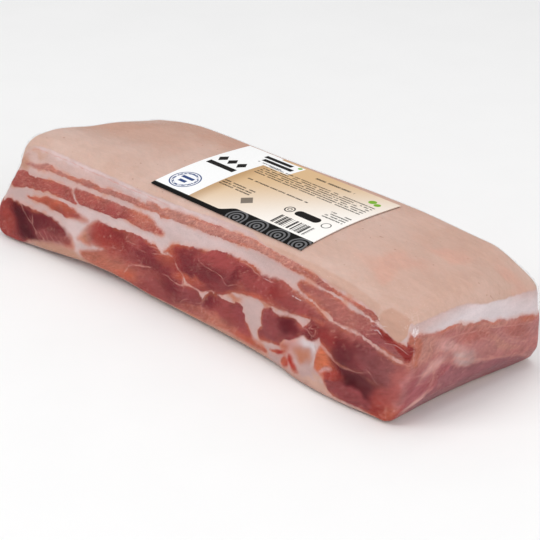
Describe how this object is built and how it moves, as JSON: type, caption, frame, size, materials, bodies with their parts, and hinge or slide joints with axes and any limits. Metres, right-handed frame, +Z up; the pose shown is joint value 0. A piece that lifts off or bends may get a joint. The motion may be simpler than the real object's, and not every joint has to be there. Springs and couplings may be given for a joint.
{
  "type": "salted pork belly",
  "caption": "Rind-on slab of salted pork belly with marbled cut sides, in skin-tight clear film, with a plain paper label on the rind.",
  "frame": {"origin": "on the surface it lies on, under the middle of the slab's bounding box", "axes": "+X along the slab towards the end that faces the camera's right, -Y out of the long marbled cut, +Z up through the rind"},
  "size_m": [0.3564, 0.1192, 0.0708],
  "materials": {
    "pork": "moist salted meat and fat, glossy under its film",
    "film": "clear skin-tight film",
    "label_paper": "satin printed paper"
  },
  "bodies": {
    "root": {"pork_belly": "pork", "label": "label_paper"}
  },
  "joints": []
}
